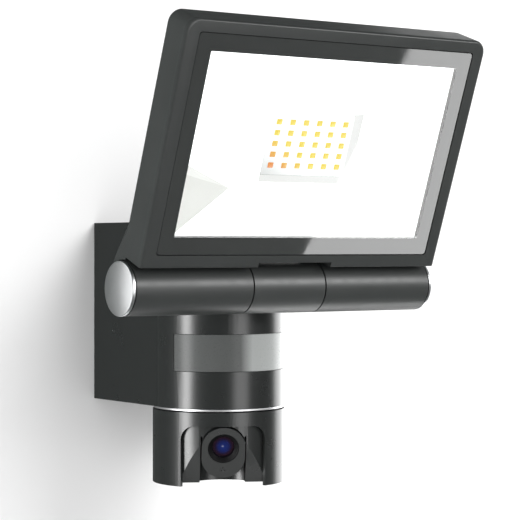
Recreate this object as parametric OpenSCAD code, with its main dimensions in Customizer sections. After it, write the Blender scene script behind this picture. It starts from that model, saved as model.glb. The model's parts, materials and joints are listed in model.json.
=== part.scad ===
// Floodlight security camera for a wall. Millimetres. The origin is the centre of the wall plate's
// rear face, +Z is up, the wall is the plane Y = 0 and the lamp looks towards -Y.

/* [Wall box] */
// Width of the wall box
box_w = 80; // [74:1:80]
// Height of the wall box and of the tower
box_h = 116; // [112:2:124]
// Wall thickness of the plastic shells
wall = 2.5; // [2:0.25:3]
// Thickness of the wall plate
plate_t = 3; // [2.5:0.5:4]
// Spacing of the wall screws across the plate
screw_dx = 56; // [50:1:60]
// Spacing of the wall screws up the plate
screw_dz = 84; // [76:1:90]
// Radius of each wall screw hole
screw_hole_r = 2.5; // [2:0.25:3]

/* [Tower] */
// Radius of the round tower
tower_r = 41; // [40:0.5:43]
// Distance of the tower's axis from the wall
tower_dist = 88; // [84:1:92]
// Top of the motion sensor window
window_top = -11.7; // [-14:0.1:-10]
// Bottom of the motion sensor window
window_bottom = -35; // [-38:0.1:-32]
// Half of the angle that the window covers
window_half_angle = 76.5; // [60:0.5:80]

/* [Hinge] */
// Distance of the hinge axis from the wall
hinge_dist = 150; // [148:1:154]
// Height of the hinge axis above the origin
hinge_z = 18; // [16:1:20]
// Radius of the hinge barrels
barrel_r = 16.1; // [15.5:0.1:16.5]
// Half length of the fixed middle barrel
mid_half = 26.2; // [24:0.1:28]
// Radius of the hollow hinge shaft
shaft_r = 6; // [5:0.25:7]

/* [Lamp head] */
// Forward lean of the head at rest, in degrees
head_lean = 20.4; // [10:0.1:30]
// Width of the head's face
head_w = 218; // [210:1:224]
// Height of the head's face above the hinge axis, at its bottom edge
head_low = 17.8; // [17.5:0.1:18.5]
// Height of the head's face above the hinge axis, at its top edge
head_top = 164.8; // [158:0.1:168]
// Distance of the head's front plane from the hinge axis
head_front = 14.7; // [14:0.1:16]
// Distance of the head's flat back from the hinge axis
head_back = 8.4; // [8:0.1:9]
// Radius of the head's two top corners
head_corner_r = 8; // [6:0.5:10]
// Width of the glass pane
glass_w = 199; // [190:0.5:202]
// Thickness of the glass pane
glass_t = 4; // [3:0.5:4]
// Width of the clear window inside the black mask
clear_w = 179.6; // [170:0.2:182]
// Lowest and highest edge of the clear window above the hinge axis
clear_v = [36.9, 146.8];

/* [Camera] */
// Turn of the camera cup at rest, in degrees, negative towards -X
cup_turn = -29; // [-60:1:60]
// Radius of the camera cup
cup_r = 41.8; // [41.5:0.1:43]
// Height of the camera cup
cup_h = 46; // [44:1:50]
// Downward look of the camera eye at rest, in degrees
eye_down = 18.5; // [10:0.5:30]
// Half of the angle that the arch in the cup spans
arch_half_angle = 39; // [36:0.5:42]
// Radius of the eye's pill-shaped face at its ends
pill_r = 13.5; // [13:0.1:13.8]
// Length of the straight sides of the eye's face
pill_straight = 6.6; // [5:0.1:7]
// Radius of the lens opening at the eye's face
lens_open_r = 9.7; // [9:0.1:10]

/* [Hidden] */
$fn = 96;
eps = 0.01;
run_gap = 0.06;              // radial clearance of a shaft that turns in its bore
slide_gap = 0.3;             // gap between faces that turn past each other
anthracite = [0.22, 0.23, 0.23];
black = [0.05, 0.05, 0.05];
steel = [0.72, 0.73, 0.74];
board_green = [0.08, 0.26, 0.16];

// Wall box
box_in_w = box_w - 2 * wall;
box_in_h = box_h - 2 * wall;
board_t = 1.6;               // thickness of every circuit board but the eye's
seal_t = 1.2;                // thickness of the wall seal
seal_out = 5;                // how much smaller than the box's inside the seal is, outside and inside
seal_in = 9;
lug_y = 12;                  // distance of the housing screws from the wall
lug_x = 25;                  // distance of the housing screws from the centre
lug_half = 6;                // half width of the plate's lugs round these screws
entry_z = 30;                // height of the cable entry
entry_r = 9.5;               // radius of the hole in the plate for the grommet
tie_x = 20;                  // place of the screws between box and tower
tie_z = 47;
tie_y = -43;                 // rear end of the bosses of these screws
driver_y = -41;              // front face of the driver board
driver_half = 33;
driver_half_h = 34;
rail_x = box_in_w / 2 - 2.6; // middle of the rails that hold the driver board
rail_half = 2.7;
speaker_y = -29;
opening_half = [24, 36];     // half width and height of the opening from the box into the tower
terminal_pitch = 11;
terminal_z = [-9, -17];      // heights of the terminals' two screws

// Tower
tower_y = -tower_dist;
tower_top = box_h / 2;
tower_bottom = -box_h / 2;
tower_in_r = tower_r - wall;
floor_t = 3;
floor_z = tower_bottom;
cap_t = 2;                   // thickness of the tower's top cap
inner_ties = tower_y + 26;   // front end of the bosses for the screws between box and tower
spindle_r = 12;
spindle_in_r = 8.5;
cup_top = tower_bottom - 2;
retainer_z = floor_z + floor_t + 0.5 - cup_top; // height of the retaining ring above the cup's top
board_y = tower_y + 6;       // front face of the control board
sensor_turn = 38;            // turn of each motion sensor from straight ahead
sensor_z = (window_top + window_bottom) / 2;

// Hinge
hinge_y = -hinge_dist;
side_start = mid_half + 1;   // inner end of each side barrel
side_end = 108.2;            // outer end of each side barrel
cap_start = 109.1;
cap_end = 112;
cap_dome = 0.9;              // rise of the end caps' domed faces
cap_edge = cap_end - cap_dome - 0.3; // outer end of the caps' straight rim
bulkhead = 6;
barrel_in_r = 13.2;
washer_t = 1.8;
neck_half_w = 24;
neck_half_h = 13;
nut_x = side_start + bulkhead + slide_gap + 3 * washer_t;
nut_t = 5;
wire_r = 4;                  // radius of the wires' way from the tower into the neck

// Lamp head: x across, y back, z up from the hinge axis
head_half = head_w / 2;
tray_floor = head_back - 4;  // inner face of the tray's floor
seat_v = [25.7, 157.4];      // edges of the glass recess
seat_half = 99.8;
glass_front = -head_front + 0.3;
glass_back = glass_front + glass_t;
gasket_t = 1;
ledge_y = glass_back + gasket_t;
ledge_w = 3.6;               // width of the ledge under the gasket
board_v = [71.9, 109.8];     // edges of the LED board
board_half = 30.5;
floor_v = [63, 120];         // edges of the reflector's flat floor
floor_half = 50;
led_cols = 6;
led_rows = 5;
led_pitch = [9.8, 6.67];
led_size = [3.4, 2.9];
notch_half = 27;             // half width of the notch over the middle barrel
notch_top = 21.1;
tail_top = 36.5;             // where the tail leaves the head's flat back
edge_r = 2.2;                // radius of the rounded edges round the head's face
edge_turn = 15;              // degrees per step of that rounding
crescent_x = 105;            // from here outwards the tail stays clear of the barrel's end
crescent_gap = 0.7;
barrel_screw_x = [52, 90];   // places of the screws that hold each side barrel
rib_v = [64, 148];           // edges of the cooling ribs
rib_h = 5;
rib_pitch = 10;
vent_at = [60, 46];          // place of the pressure vent in the tray's floor
pad_t = 0.5;                 // thickness of the thermal pad under the LED board

// Camera cup: x across, y back, z up from the cup's top face
cup_skin = 2.4;              // thickness of the cup's top and wall
core_r = cup_r - cup_skin;
core_h = 44;
core_skin = 2;
arch_top = -8.5;
arch_corner_r = 9;
fascia_s = 36;               // distance of the sloping fascia from the axis at fascia_z
fascia_z = -22.4;
eye_depth = 10;              // distance of the eye's face from its tilt axis
pivot_s = fascia_s + 0.6 - eye_depth * cos(eye_down);
pivot_z = fascia_z + eye_depth * sin(eye_down);
pocket_half = 14.2;
drum_r = 10.4;
drum_skin = 1.3;
mic_z = -14.2;               // height of the microphone on the eye's face
pill_mid = 0.4;              // centre of the face's round top above the tilt axis
drum_half = 13.2;
pin_r = 2;
pin_end = pocket_half + 4.5; // outer end of the tilt pins
hood_y = -eye_depth + 0.2;   // front face of the black hood round the lens
lens_r = 7;
lens_curve_r = 15;
pocket_back_s = 15;          // distance of the pocket's back wall from the axis, at its middle
pocket_back_r = 20;
post_places = [[-25, 16], [25, 16], [0, 31]];

// ---------- placing ----------

module at_hinge() { translate([0, hinge_y, hinge_z]) children(); }
module at_head() { at_hinge() rotate([head_lean, 0, 0]) children(); }
module at_tower() { translate([0, tower_y, 0]) children(); }
module at_cup() { translate([0, tower_y, cup_top]) rotate([0, 0, cup_turn]) children(); }
module at_pivot() { translate([0, -pivot_s, pivot_z]) children(); }
module at_eye() { at_cup() at_pivot() rotate([eye_down, 0, 0]) children(); }

// A cylinder along +X that starts at x
module rod_x(x, len, r, fn = $fn) {
    translate([x, 0, 0]) rotate([0, 90, 0]) cylinder(h = len, r = r, $fn = fn);
}
// A cylinder along +Y that starts at the point p
module rod_y(p, len, r, fn = 32) {
    translate(p) rotate([-90, 0, 0]) cylinder(h = len, r = r, $fn = fn);
}
module rod_z(p, len, r, fn = 32) { translate(p) cylinder(h = len, r = r, $fn = fn); }
module box_at(low, high) { translate(low) cube(high - low); }
module tube(r_out, r_in, low, high) {
    translate([0, 0, low]) difference() {
        cylinder(h = high - low, r = r_out);
        translate([0, 0, -1]) cylinder(h = high - low + 2, r = r_in);
    }
}
// A wedge about the axis, centred on -Y, that spans twice half_angle
module wedge(half_angle, low, high, reach = 60) {
    steps = 4;
    points = [for (i = [-steps : steps]) let (a = half_angle * i / steps)
        [reach * sin(a), -reach * cos(a)]];
    translate([0, 0, low]) linear_extrude(high - low) polygon(concat([[0, 0]], points));
}
// A pan-head screw along +Y, head first, with a cross slot
module screw_y(p, shank_len, shank_r, head_r, head_h) {
    difference() {
        union() {
            rod_y([p[0], p[1] - shank_len, p[2]], shank_len + eps, shank_r);
            rod_y(p, head_h, head_r);
        }
        for (size = [[1, 2.4], [2.4, 1]])
            box_at([p[0] - size[0] / 2, p[1] + head_h / 2, p[2] - size[1] / 2],
                [p[0] + size[0] / 2, p[1] + head_h + 1, p[2] + size[1] / 2]);
    }
}
// The same screw along Z, with its head hanging below the point p
module screw_z(p, shank_len, shank_r, head_r, head_h) {
    translate(p) rotate([-90, 0, 0]) screw_y([0, 0, 0], shank_len, shank_r, head_r, head_h);
}

// ---------- wall box ----------

module wall_plate() {
    color([0.18, 0.18, 0.18]) difference() {
        union() {
            box_at([-box_in_w / 2 + slide_gap, -plate_t, -box_in_h / 2 + slide_gap],
                [box_in_w / 2 - slide_gap, 0, box_in_h / 2 - slide_gap]);
            for (side = [-1, 1])
                box_at([side * lug_x - lug_half, -lug_y - lug_half, -box_in_h / 2 + slide_gap],
                    [side * lug_x + lug_half, -plate_t + eps, -box_in_h / 2 + 11]);
            box_at([-20, -12, box_in_h / 2 - 5], [20, -plate_t + eps, box_in_h / 2 - slide_gap]);
            rod_y([0, -plate_t - 2, entry_z], 2 + eps, entry_r + 2.5, 64);
        }
        for (x = [-1, 1], z = [-1, 1])
            rod_y([x * screw_dx / 2, -plate_t - 1, z * screw_dz / 2], plate_t + 2, screw_hole_r);
        for (side = [-1, 1])
            rod_z([side * lug_x, -lug_y, -box_h / 2], 20, 1.5);
        rod_y([0, -plate_t - 3, entry_z], plate_t + 4, entry_r, 64);
        seal_ring(seal_t + 1);
    }
}

// The flat ring that the seal fills in the plate's rear face, t deep
module seal_ring(t) {
    translate([0, -seal_t, 0]) rotate([-90, 0, 0]) linear_extrude(t) difference() {
        square([box_in_w - seal_out, box_in_h - seal_out], center = true);
        square([box_in_w - seal_in, box_in_h - seal_in], center = true);
    }
}

module wall_seal() { color(black) seal_ring(seal_t); }

module tie_places() {
    for (x = [-1, 1], z = [-1, 1]) translate([x * tie_x, 0, z * tie_z]) children();
}

module base_housing() {
    color(anthracite) difference() {
        union() {
            difference() {
                box_at([-box_w / 2, tower_y, -box_h / 2], [box_w / 2, 0, box_h / 2]);
                box_at([-box_in_w / 2, tower_y - 1, -box_in_h / 2], [box_in_w / 2, 1, box_in_h / 2]);
            }
            at_tower() intersection() {
                tube(tower_r + wall, tower_r, -box_h / 2, box_h / 2);
                box_at([-box_w / 2, 0, -box_h / 2], [box_w / 2, tower_r + wall, box_h / 2]);
            }
            tie_places() box_at([-4.5, tie_y - 12, -4.5], [4.5, tie_y, 4.5]);
            for (side = [-1, 1])
                box_at([side * rail_x - rail_half, driver_y - 2, -driver_half_h],
                    [side * rail_x + rail_half, driver_y + board_t + 2, driver_half_h]);
        }
        box_at([-driver_half - 0.1, driver_y - 0.1, -driver_half_h - 1],
            [driver_half + 0.1, driver_y + board_t + 0.1, driver_half_h + 1]);
        at_tower() rod_z([0, 0, -box_h], 2 * box_h, tower_r, $fn);
        box_at([-opening_half[0], tower_y, -opening_half[1]], [opening_half[0], tie_y, opening_half[1]]);
        tie_places() rod_y([0, tower_y, 0], tower_dist, 1.7);
        for (side = [-1, 1]) {
            rod_z([side * lug_x, -lug_y, -box_h / 2 - 1], 10, 1.8);
            rod_z([side * lug_x, -lug_y, -box_h / 2 - 1], 2.4, 3.4);
        }
        for (i = [-3 : 3])
            box_at([i * 3 - 0.6, speaker_y - 8, -box_h / 2 - 1],
                [i * 3 + 0.6, speaker_y + 8, -box_in_h / 2 + 1]);
    }
}

module housing_screws() {
    color(steel) for (side = [-1, 1])
        screw_z([side * lug_x, -lug_y, -box_h / 2 + 1.4], 10, 1.45, 3, 1.2);
}

module cable_grommet() {
    color(black) difference() {
        union() {
            rod_y([0, -plate_t - 2, entry_z], plate_t + 2, entry_r, 64);
            rod_y([0, -plate_t - 5, entry_z], 3 + eps, 7.5, 64);
        }
        rod_y([0, -plate_t - 6, entry_z], plate_t + 7, 4, 64);
    }
}

module terminal_block() {
    color([0.85, 0.85, 0.82]) difference() {
        box_at([-18, -17, -22], [18, -plate_t, -4]);
        for (i = [-1 : 1]) {
            rod_z([i * terminal_pitch, -9, -23], 20, 2.6);
            for (z = terminal_z) rod_y([i * terminal_pitch, -18, z], 6.5, 2.4);
        }
    }
}

module terminal_screws() {
    color([0.75, 0.62, 0.3]) for (i = [-1 : 1], z = terminal_z)
        translate([i * terminal_pitch, 0, z]) difference() {
            rod_y([0, -15.5, 0], 4, 2.3);
            box_at([-2, -16, -0.35], [2, -14.7, 0.35]);
        }
}

module driver_board() {
    color(board_green) union() {
        box_at([-driver_half, driver_y, -driver_half_h], [driver_half, driver_y + board_t, driver_half_h]);
        for (i = [0 : 4])
            box_at([-24 + i * 5, driver_y + board_t - eps, 22], [-21 + i * 5, driver_y + 3, 26]);
        box_at([10, driver_y + board_t - eps, 18], [24, driver_y + 9, 30]);
    }
}

module driver_transformer() {
    color([0.75, 0.6, 0.2]) translate([-12, driver_y + board_t, 2]) union() {
        box_at([-10, 0, -11], [10, 16, -7]);
        box_at([-10, 0, 7], [10, 16, 11]);
        rod_z([0, 8, -7 - eps], 14 + 2 * eps, 7.5, 48);
    }
}

module driver_capacitors() {
    // Each one's x, z, radius and length
    color([0.1, 0.12, 0.25]) for (place = [[14, -22, 6, 17], [0, -25, 4, 13], [20, 2, 5, 15]])
        rod_y([place[0], driver_y + board_t, place[1]], place[3], place[2], 48);
}

// ---------- tower ----------

// The three ears inside the tower that the floor is screwed to
module ear_places() {
    at_tower() for (a = [30, 150, 270]) rotate([0, 0, a]) translate([33, 0, 0]) children();
}

module tower_shell() {
    color(anthracite) difference() {
        union() {
            at_tower() tube(tower_r, tower_in_r, tower_bottom, tower_top - cap_t);
            intersection() {
                ear_places() box_at([-4, -4, floor_z + floor_t], [10, 4, floor_z + floor_t + 7]);
                at_tower() rod_z([0, 0, -box_h], 2 * box_h, tower_r - 1, $fn);
            }
            intersection() {
                box_at([-22, tower_y - 38, hinge_z - neck_half_h], [22, tower_y - 30, hinge_z + neck_half_h]);
                at_tower() rod_z([0, 0, -box_h], 2 * box_h, tower_r - 1, $fn);
            }
            intersection() {
                tie_places() box_at([-5, inner_ties, -4.5], [5, inner_ties + 14, 4.5]);
                at_tower() rod_z([0, 0, -box_h], 2 * box_h, tower_r - 1, $fn);
            }
        }
        at_tower() wedge(window_half_angle, window_bottom, window_top);
        ear_places() rod_z([0, 0, floor_z], 12, 1.2);
        box_at([-opening_half[0], tower_y, -opening_half[1]],
            [opening_half[0], tower_y + 50, opening_half[1]]);
        tie_places() rod_y([0, tower_y + 20, 0], 40, 1.45);
        neck_screw_places() rod_y([0, -30, 0], 60, 1.7);
        rod_y([0, tower_y - 50, hinge_z], 40, wire_r);
    }
}

module tower_cap() {
    color(anthracite) at_tower() difference() {
        union() {
            rod_z([0, 0, tower_top - cap_t], cap_t, tower_r, $fn);
            tube(tower_in_r - 0.1, tower_in_r - 2.5, tower_top - 8, tower_top - cap_t + eps);
        }
        box_at([-25, 20, tower_top - 9], [25, 50, tower_top - cap_t]);
    }
}

module tower_screws() {
    color(steel) tie_places() screw_y([0, tie_y, 0], 15, 1.4, 3.2, 2);
}

module tower_floor() {
    color(black) at_tower() difference() {
        rod_z([0, 0, floor_z], floor_t, tower_in_r - 0.1, $fn);
        rod_z([0, 0, floor_z - 1], floor_t + 2, spindle_r + run_gap, $fn);
        translate([0, -tower_y, 0]) ear_places() rod_z([0, 0, floor_z - 1], floor_t + 2, 1.4);
    }
}

module floor_screws() {
    color(steel) ear_places() screw_z([0, 0, floor_z], 8, 1.15, 2.6, 1.2);
}

module control_board() {
    color(board_green) union() {
        box_at([-26, board_y, -50], [26, board_y + board_t, 50]);
        box_at([-10, board_y - 3, -22], [12, board_y + eps, -4]);
        box_at([-20, board_y - 2, 4], [-8, board_y + eps, 16]);
        box_at([2, board_y - 1.4, 2], [16, board_y + eps, 12]);
        for (i = [0 : 5]) box_at([-22 + i * 6, board_y - 1, -38], [-19 + i * 6, board_y + eps, -34]);
        box_at([-6, board_y + board_t - eps, 20], [10, board_y + 8, 27]);
    }
}

module board_spacers() {
    color([0.8, 0.75, 0.5]) tie_places()
        rod_y([0, board_y + board_t, 0], inner_ties - board_y - board_t, 2.5);
}

module wifi_antenna() {
    color([0.15, 0.15, 0.15]) box_at([-16, board_y - 1, 32], [16, board_y, 42]);
}

module speaker() {
    color([0.2, 0.2, 0.2]) translate([0, speaker_y, -box_in_h / 2]) union() {
        tube(14, 11, 0, 4);
        rod_z([0, 0, 1.5], 1, 11 + eps, 48);
        rod_z([0, 0, 4 - eps], 4, 8, 48);
        rod_z([0, 0, 2.4], 2, 9, 48);
    }
}

module pir_window() {
    color([0.4, 0.41, 0.41, 0.9]) at_tower() intersection() {
        tube(tower_r - 0.15, tower_r - 1.7, window_bottom + 0.2, window_top - 0.2);
        wedge(window_half_angle - 0.3, window_bottom - 1, window_top + 1);
    }
}

module pir_board() {
    color(board_green) at_tower() union() {
        box_at([-14, -18.5, window_bottom - 4], [14, -18.5 + board_t, window_top + 4]);
        for (side = [-1, 1]) rotate([0, 0, side * sensor_turn])
            box_at([-6, -25, sensor_z - 5.5], [6, -20, sensor_z + 5.5]);
    }
}

module pir_sensors() {
    color(steel) at_tower() for (side = [-1, 1]) rotate([0, 0, side * sensor_turn]) union() {
        rod_y([0, -29, sensor_z], 4, 4.1, 48);
        rod_y([0, -25.8, sensor_z], 0.8, 4.7, 48);
    }
}

module accent_ring() {
    color([0.85, 0.86, 0.87]) at_tower() tube(tower_r + 0.2, 36, tower_bottom - 1.3, tower_bottom);
}

module pan_washer() {
    color([0.9, 0.9, 0.88]) at_tower() tube(27, 18, tower_bottom - 1.7, tower_bottom);
}

// ---------- hinge ----------

module neck_screw_places() {
    for (x = [-14, 14], z = [-7, 7]) translate([x, tower_y - 30, hinge_z + z]) children();
}

module hinge_neck() {
    color(anthracite) difference() {
        union() {
            at_hinge() rod_x(-mid_half, 2 * mid_half, barrel_r);
            box_at([-neck_half_w, hinge_y + 5, hinge_z - neck_half_h],
                [neck_half_w, tower_y - 20, hinge_z + neck_half_h]);
        }
        at_tower() rod_z([0, 0, -box_h], 2 * box_h, tower_r, $fn);
        at_hinge() rod_x(-mid_half - 1, 2 * mid_half + 2, shaft_r);
        rod_y([0, hinge_y, hinge_z], 50, wire_r);
        neck_screw_places() rod_y([0, -16, 0], 20, 1.4);
    }
}

module neck_screws() {
    color(steel) neck_screw_places() screw_y([0, 0, 0], 14, 1.35, 3, 2);
}

module hinge_shaft() {
    color(steel) at_hinge() difference() {
        rod_x(-46, 92, shaft_r);
        rod_x(-47, 94, shaft_r - 2, 64);
        rod_y([0, 0, 0], 20, 3.5);
    }
}

module hinge_seals() {
    color(black) at_hinge() for (side = [-1, 1]) difference() {
        rod_x(side > 0 ? mid_half : -mid_half - 0.7, 0.7, 15);
        rod_x(side * mid_half - 2, 4, 12);
    }
}

module spring_washers() {
    color(steel) at_hinge() for (side = [-1, 1], i = [0 : 2]) difference() {
        rod_x(side * (side_start + bulkhead + slide_gap + (i + 0.5) * washer_t) - washer_t / 2,
            washer_t, 11 - i % 2);
        rod_x(side * (side_start + bulkhead + 3) - 6, 12, shaft_r);
    }
}

module shaft_nuts() {
    color(steel) at_hinge() for (side = [-1, 1]) difference() {
        rod_x(side > 0 ? nut_x : -nut_x - nut_t, nut_t, 10, 6);
        rod_x(side * nut_x - 8, 16, shaft_r);
    }
}

// ---------- lamp head ----------

// The four corners of the head's outline at half width w, as thin discs whose front faces are at y
module head_corners(y, w, v_low, v_top) {
    translate([0, y + 0.1, 0]) rotate([90, 0, 0]) linear_extrude(0.1) for (side = [-1, 1]) {
        translate([side * (w - head_corner_r), v_top - head_corner_r]) circle(r = head_corner_r, $fn = 48);
        translate([side * (w - 1), v_low + 1]) circle(r = 1, $fn = 24);
    }
}

// A rounded frame or plate in the head's plane, from y to y + t
module head_plate(y, t, w, v_low, v_top, r) {
    translate([0, y + t, 0]) rotate([90, 0, 0]) linear_extrude(t) union() {
        for (grow = [0, 1]) translate([-w + (1 - grow) * r, v_low + grow * r])
            square([2 * w - 2 * (1 - grow) * r, v_top - v_low - 2 * grow * r]);
        for (x = [-1, 1], z = [v_low + r, v_top - r]) translate([x * (w - r), z]) circle(r = r);
    }
}

// The tail's section at the place x, moved forward by shift
module tail_section(x, shift) {
    translate([x, -shift, 0]) rotate([90, 0, 90]) linear_extrude(0.1)
        polygon([[head_back, tail_top], [16.2, 14], [16.9, 8], [barrel_r, 0], [10, 0], [5, head_low],
            [2, tail_top]]);
}

// One side of the tail, from the notch to the rounded outer end
module side_tail() {
    hull() {
        tail_section(notch_half + 0.2, 0);
        tail_section(head_half - edge_r, 0);
        tail_section(head_half - 0.7, 2.4);
    }
}

// The head's block: its front edges are rounded in steps of edge_turn degrees
module head_body() {
    hull() {
        for (turn = [0 : edge_turn : 90]) {
            inset = edge_r * (1 - sin(turn));
            head_corners(-head_front + edge_r * (1 - cos(turn)), head_half - inset,
                head_low + 0.3 * inset, head_top - 0.6 * inset);
        }
        head_corners(head_back - 2.4, head_half - 0.6, head_low, head_top);
        head_corners(head_back - 0.1, head_half - edge_r, head_low + 2, head_top - 1.5);
    }
}

module head_housing() {
    color(anthracite) at_head() difference() {
        union() {
            head_body();
            side_tail();
            mirror([1, 0, 0]) side_tail();
            for (i = [-8 : 8]) translate([i * rib_pitch - 1, 0, 0]) rotate([90, 0, 90]) linear_extrude(2)
                polygon([[head_back - 1, rib_v[0]], [head_back - 1, rib_v[1]],
                    [head_back + rib_h, rib_v[1] - 6], [head_back + rib_h, rib_v[0] + 6]]);
        }
        head_plate(-head_front - 1, ledge_y + head_front + 1, seat_half, seat_v[0], seat_v[1], 2);
        difference() {
            union() {
                head_plate(ledge_y - 1, tray_floor - ledge_y + 1, seat_half - ledge_w,
                    seat_v[0] + ledge_w, seat_v[1] - ledge_w, 2);
                head_plate(ledge_y + 2, tray_floor - ledge_y - 2, seat_half + 3,
                    seat_v[0] - 1, seat_v[1] + 3, 2);
            }
            box_at([-34, board_t + pad_t, 68], [34, tray_floor + 1, 114]);
        }
        box_at([-notch_half, -head_front - 1, 0], [notch_half, head_back + 10, notch_top]);
        rod_x(-120, 240, barrel_r);
        for (side = [-1, 1])
            rod_x(side > 0 ? crescent_x : -120, 120 - crescent_x, barrel_r + crescent_gap);
        rod_y([vent_at[0], tray_floor - 1, vent_at[1]], 20, 4);
        for (side = [-1, 1]) barrel_screw_places(side) rod_z([0, 0, barrel_r - 1], 8, 1.5);
    }
}

// Where the barrels are screwed to the tail, on one side: +Z points up into the tail
module barrel_screw_places(side) {
    for (x = barrel_screw_x) translate([side * x, 0, 0]) rotate([-34, 0, 0]) children();
}

module side_barrel() {
    difference() {
        rod_x(side_start, side_end - side_start, barrel_r);
        rod_x(side_start + bulkhead, side_end, barrel_in_r);
        rod_x(0, side_end, shaft_r + run_gap);
        barrel_screw_places(1) rod_z([0, 0, 5], 15, 1.7);
    }
}

module left_barrel() { color(anthracite) at_head() mirror([1, 0, 0]) side_barrel(); }
module right_barrel() { color(anthracite) at_head() side_barrel(); }

module barrel_screws() {
    color(steel) at_head() for (side = [-1, 1]) barrel_screw_places(side)
        screw_z([0, 0, barrel_in_r - 0.35], 8.5, 1.45, 2.8, 1.8);
}

// A turned cap with a slightly domed face and a plug that fits the barrel's bore
module end_cap() {
    dome_r = (pow(barrel_r, 2) + pow(cap_dome, 2)) / (2 * cap_dome);
    difference() {
        union() {
            intersection() {
                union() {
                    rod_x(cap_start, cap_edge - cap_start, barrel_r);
                    translate([cap_edge - eps, 0, 0]) rotate([0, 90, 0])
                        cylinder(h = 1.2, r1 = barrel_r, r2 = barrel_r - 1.2);
                }
                translate([cap_end - dome_r, 0, 0]) sphere(r = dome_r);
            }
            rod_x(cap_start - 6, 6 + eps, barrel_in_r - 0.05);
        }
        rod_x(cap_start - 7, 7, barrel_in_r - 2);
    }
}

module left_end_cap() { color(steel) at_head() mirror([1, 0, 0]) end_cap(); }
module right_end_cap() { color(steel) at_head() end_cap(); }

module glass_pane() {
    color([0.6, 0.65, 0.65, 0.35]) at_head()
        head_plate(glass_front, glass_t, glass_w / 2, seat_v[0] + 0.3, seat_v[1] - 0.3, 2);
}

module glass_gasket() {
    color(black) at_head() difference() {
        head_plate(glass_back, gasket_t, seat_half - 0.1, seat_v[0] + 0.1, seat_v[1] - 0.1, 2);
        head_plate(glass_back - 1, gasket_t + 2, seat_half - ledge_w, seat_v[0] + ledge_w,
            seat_v[1] - ledge_w, 2);
    }
}

module mask_frame() {
    color(black) at_head() difference() {
        head_plate(glass_back, 0.4, seat_half - ledge_w - 0.2, seat_v[0] + ledge_w + 0.2,
            seat_v[1] - ledge_w - 0.2, 2);
        head_plate(glass_back - 1, 2, clear_w / 2, clear_v[0], clear_v[1], 0.5);
    }
}

// A slab of the reflector's funnel: grow makes it wider all round
module funnel(grow) {
    hull() {
        box_at([-clear_w / 2 - grow, glass_back + 0.5, clear_v[0] - grow],
            [clear_w / 2 + grow, glass_back + 0.6, clear_v[1] + grow]);
        box_at([-floor_half - grow, 0, floor_v[0] - grow], [floor_half + grow, 0.1, floor_v[1] + grow]);
    }
}

module reflector() {
    rim = seat_half - ledge_w - 0.3;
    well = board_half + 3.4;
    color("white") at_head() difference() {
        union() {
            difference() {
                union() {
                    translate([0, 1.2, 0]) funnel(0.3);
                    head_plate(glass_back + 0.5, 1.2, rim, seat_v[0] + ledge_w + 0.3,
                        seat_v[1] - ledge_w - 0.3, 2);
                }
                translate([0, -0.05, 0]) funnel(0);
            }
            box_at([-board_half - 4, -1.2, board_v[0] - 4], [board_half + 4, 1.3, board_v[1] + 4]);
        }
        box_at([-board_half - 0.3, -5, board_v[0] - 0.3], [board_half + 0.3, 5, board_v[1] + 0.3]);
        box_at([-well, 0, board_v[0] - 3.9], [well, 5, board_v[1] + 3.9]);
    }
}

module led_board() {
    color([0.95, 0.95, 0.93]) at_head()
        box_at([-board_half, 0, board_v[0]], [board_half, board_t, board_v[1]]);
}

module led_chips() {
    mid_v = (board_v[0] + board_v[1]) / 2 + 0.5;
    color([0.95, 0.75, 0.2]) at_head() for (col = [0 : led_cols - 1], row = [0 : led_rows - 1])
        translate([(col - (led_cols - 1) / 2) * led_pitch[0], -0.7,
                mid_v + (row - (led_rows - 1) / 2) * led_pitch[1]])
            box_at([-led_size[0] / 2, 0, -led_size[1] / 2], [led_size[0] / 2, 0.7, led_size[1] / 2]);
}

module thermal_pad() {
    color([0.55, 0.6, 0.7]) at_head()
        box_at([-board_half, board_t, board_v[0]], [board_half, board_t + pad_t, board_v[1]]);
}

module vent_plug() {
    color(black) at_head() difference() {
        union() {
            rod_y([vent_at[0], tray_floor - 1, vent_at[1]], head_back - tray_floor + 1, 3.95);
            rod_y([vent_at[0], head_back, vent_at[1]], 2, 6.5);
        }
        rod_y([vent_at[0], head_back + 1.2, vent_at[1]], 2, 4.5);
    }
}

// ---------- camera ----------

module arch_cut() {
    side = arch_half_angle - asin(arch_corner_r / cup_r);
    difference() {
        union() {
            wedge(arch_half_angle, -cup_h - 1, arch_top - arch_corner_r);
            wedge(side, -cup_h - 1, arch_top);
            for (s = [-1, 1]) rotate([0, 0, s * side])
                rod_y([0, -60, arch_top - arch_corner_r], 55, arch_corner_r, 64);
        }
        rod_z([0, 0, -cup_h - 2], cup_h + 3, core_r - core_skin, $fn);
    }
}

module camera_cup() {
    color(anthracite) at_cup() difference() {
        union() {
            tube(cup_r, core_r + 0.1, -cup_h, 0);
            rod_z([0, 0, -cup_skin], cup_skin, cup_r - 1, $fn);
            rod_z([0, 0, -cup_skin], cup_skin + retainer_z, spindle_r, $fn);
            rod_z([0, 0, -cup_skin], 9.8, spindle_r - 1.5, $fn);
        }
        rod_z([0, 0, -3], 20, spindle_in_r, 64);
        arch_cut();
        for (place = post_places) rod_z([place[0], place[1], -3], 2.2, 1.4);
    }
}

// Everything behind the sloping fascia, moved back by inset
module behind_fascia(inset) {
    translate([0, -fascia_s, fascia_z]) rotate([eye_down, 0, 0])
        box_at([-60, inset, -60], [60, 120, 60]);
}

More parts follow.
